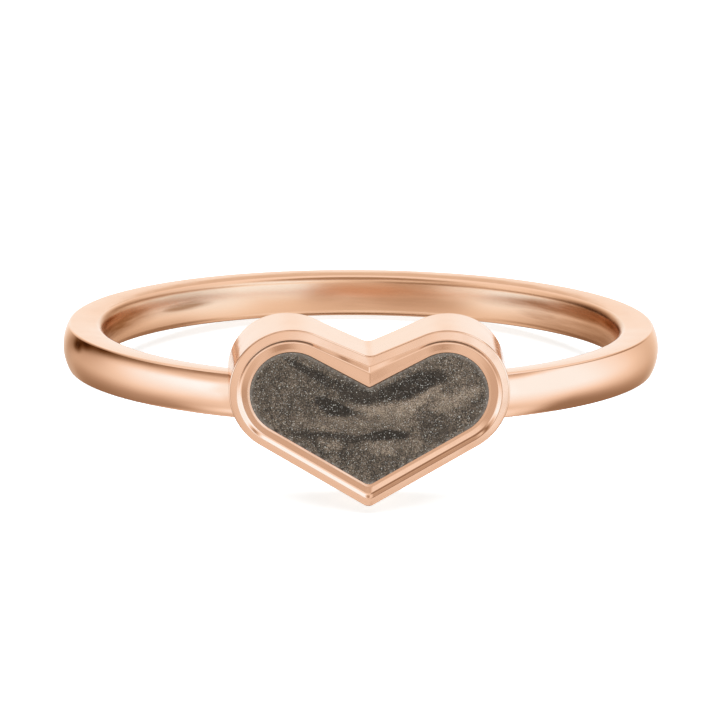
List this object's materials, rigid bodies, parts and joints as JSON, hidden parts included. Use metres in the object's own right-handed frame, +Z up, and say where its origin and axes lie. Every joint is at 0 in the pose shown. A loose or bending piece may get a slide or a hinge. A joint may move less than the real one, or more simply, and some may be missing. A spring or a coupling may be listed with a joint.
{
  "type": "heart ring",
  "caption": "Slim crowned finger ring with a heart-shaped cup at the front, its stepped rim holding a dark glitter resin inlay.",
  "frame": {"origin": "middle of the footprint box on the table, with the ring lying on its side on the heart's tip and the far edge of the shank", "axes": "+Z up, -Y the way the heart faces, +X to the right seen from the front; the finger hole leans back from +Z by 7.44 degrees"},
  "size_m": [0.02, 0.0216, 0.0061],
  "materials": {
    "rose_gold": "polished",
    "resin": "gloss"
  },
  "bodies": {
    "root": {"ring_body": "rose_gold", "heart_inlay": "resin"}
  },
  "joints": []
}
